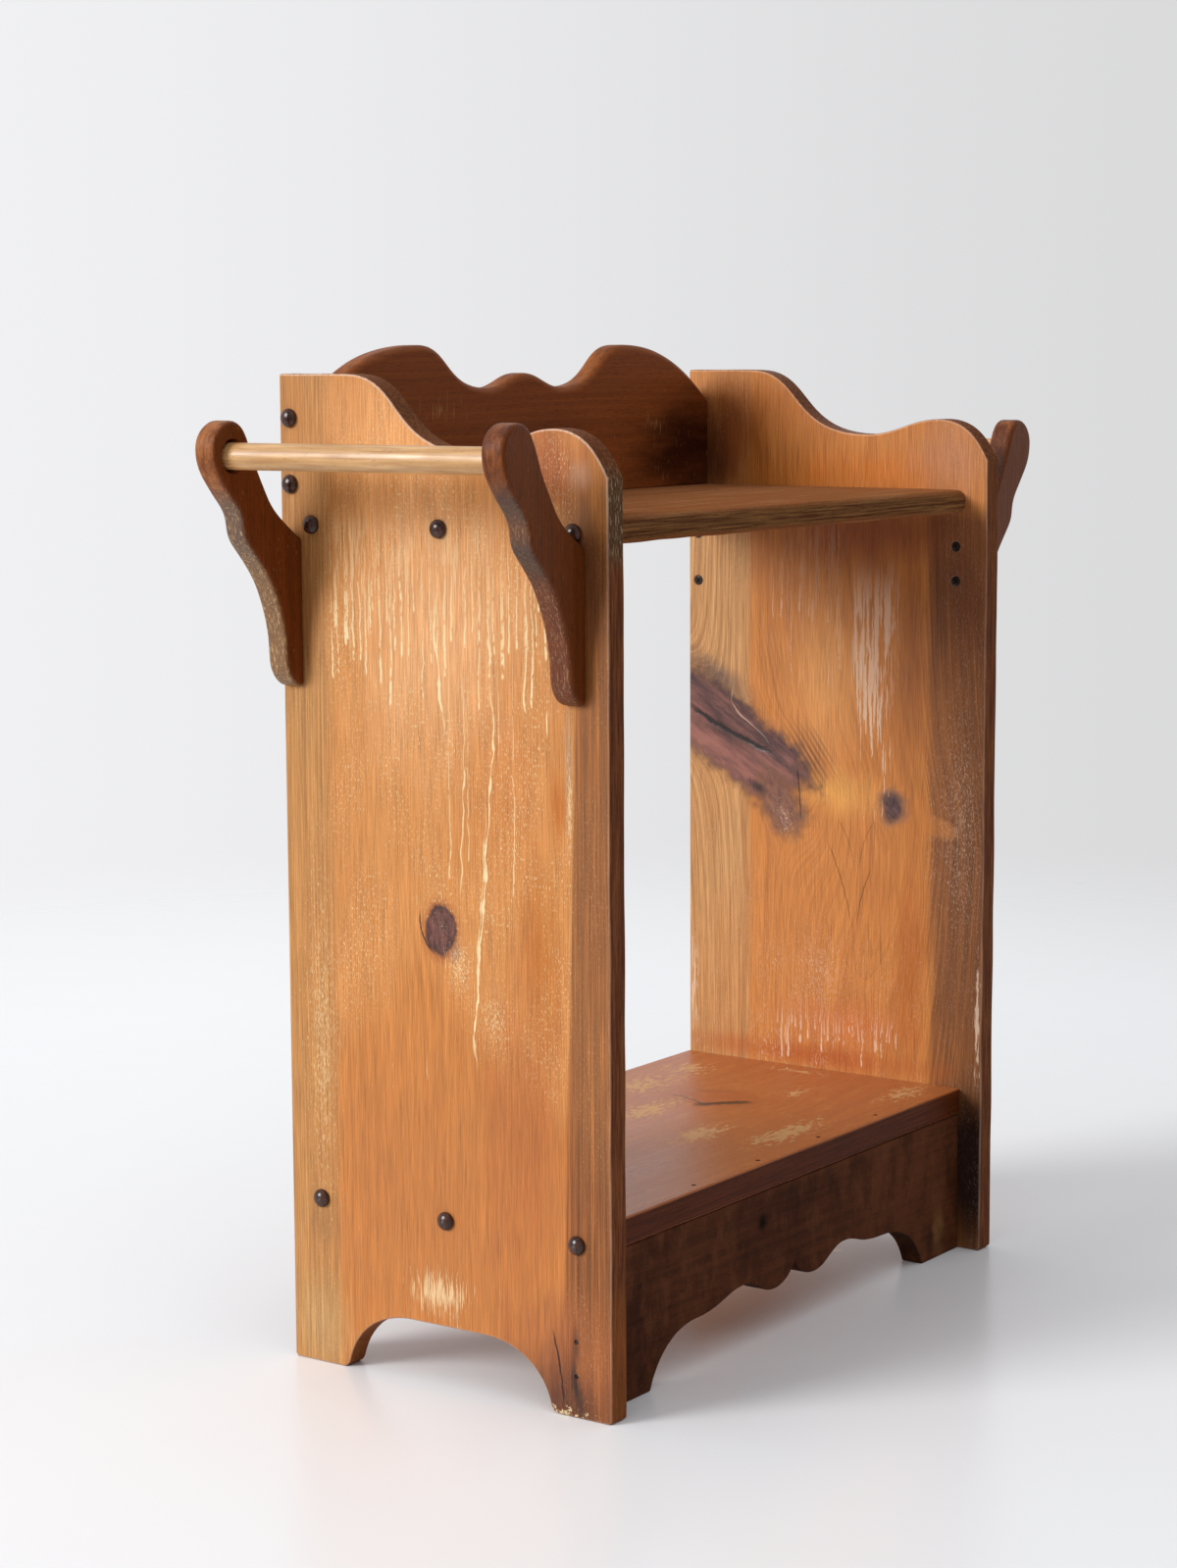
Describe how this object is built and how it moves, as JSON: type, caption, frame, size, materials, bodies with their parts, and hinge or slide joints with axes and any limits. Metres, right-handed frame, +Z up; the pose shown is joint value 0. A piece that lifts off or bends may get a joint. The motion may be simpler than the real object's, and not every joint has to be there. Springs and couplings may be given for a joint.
{
  "type": "washstand",
  "caption": "Open pine washstand: two shaped side panels carry two shelves, a scalloped backsplash and apron, with a turned towel rail on scrolled brackets at each side.",
  "frame": {"origin": "on the floor, under the middle of the stand's box", "axes": "+Z up, front faces -Y, left side panel and its towel rail at -X"},
  "size_m": [0.736, 0.286, 0.7443],
  "materials": {
    "honey_pine": "worn amber varnish on knotty pine",
    "red_pine": "glossy red-brown stain, scuffed",
    "brown_pine": "dark red-brown stain",
    "dark_pine": "very dark brown stain",
    "walnut_stain": "dark stain worn at the edges",
    "birch": "clear varnish",
    "button": "near-black stain, glossy",
    "steel": "dull dark steel"
  },
  "bodies": {
    "stand": {"left_side_panel": "honey_pine", "right_side_panel": "honey_pine", "top_shelf": "red_pine", "lower_shelf": "red_pine", "backsplash": "brown_pine", "front_apron": "dark_pine", "left_front_bracket": "walnut_stain", "left_rear_bracket": "walnut_stain", "right_front_bracket": "walnut_stain", "right_rear_bracket": "walnut_stain", "left_top_shelf_front_button": "button", "left_top_shelf_middle_button": "button", "left_top_shelf_rear_button": "button", "left_lower_shelf_front_button": "button", "left_lower_shelf_middle_button": "button", "left_lower_shelf_rear_button": "button", "left_splash_lower_button": "button", "left_splash_upper_button": "button", "right_top_shelf_front_button": "button", "right_top_shelf_middle_button": "button", "right_top_shelf_rear_button": "button", "right_lower_shelf_front_button": "button", "right_lower_shelf_middle_button": "button", "right_lower_shelf_rear_button": "button", "right_splash_lower_button": "button", "right_splash_upper_button": "button", "left_top_shelf_front_screw": "steel", "left_top_shelf_middle_screw": "steel", "left_top_shelf_rear_screw": "steel", "left_lower_shelf_front_screw": "steel", "left_lower_shelf_middle_screw": "steel", "left_lower_shelf_rear_screw": "steel", "left_splash_lower_screw": "steel", "left_splash_upper_screw": "steel", "right_top_shelf_front_screw": "steel", "right_top_shelf_middle_screw": "steel", "right_top_shelf_rear_screw": "steel", "right_lower_shelf_front_screw": "steel", "right_lower_shelf_middle_screw": "steel", "right_lower_shelf_rear_screw": "steel", "right_splash_lower_screw": "steel", "right_splash_upper_screw": "steel", "left_front_bracket_upper_screw": "steel", "left_front_bracket_lower_screw": "steel", "left_rear_bracket_upper_screw": "steel", "left_rear_bracket_lower_screw": "steel", "right_front_bracket_upper_screw": "steel", "right_front_bracket_lower_screw": "steel", "right_rear_bracket_upper_screw": "steel", "right_rear_bracket_lower_screw": "steel", "left_apron_lower_nail": "steel", "left_apron_upper_nail": "steel", "right_apron_lower_nail": "steel", "right_apron_upper_nail": "steel", "shelf_1_nail": "steel", "shelf_2_nail": "steel", "shelf_3_nail": "steel", "shelf_4_nail": "steel"},
    "left_rail": {"left_towel_rail": "birch"},
    "right_rail": {"right_towel_rail": "birch"}
  },
  "joints": [
    {"name": "left_rail_turn", "type": "hinge", "parent": "stand", "child": "left_rail", "pos_m": [-0.348, 0.0095, 0.668], "axis": [0, 1, 0], "continuous": true},
    {"name": "right_rail_turn", "type": "hinge", "parent": "stand", "child": "right_rail", "pos_m": [0.348, 0.0095, 0.656], "axis": [0, 1, 0], "continuous": true}
  ]
}
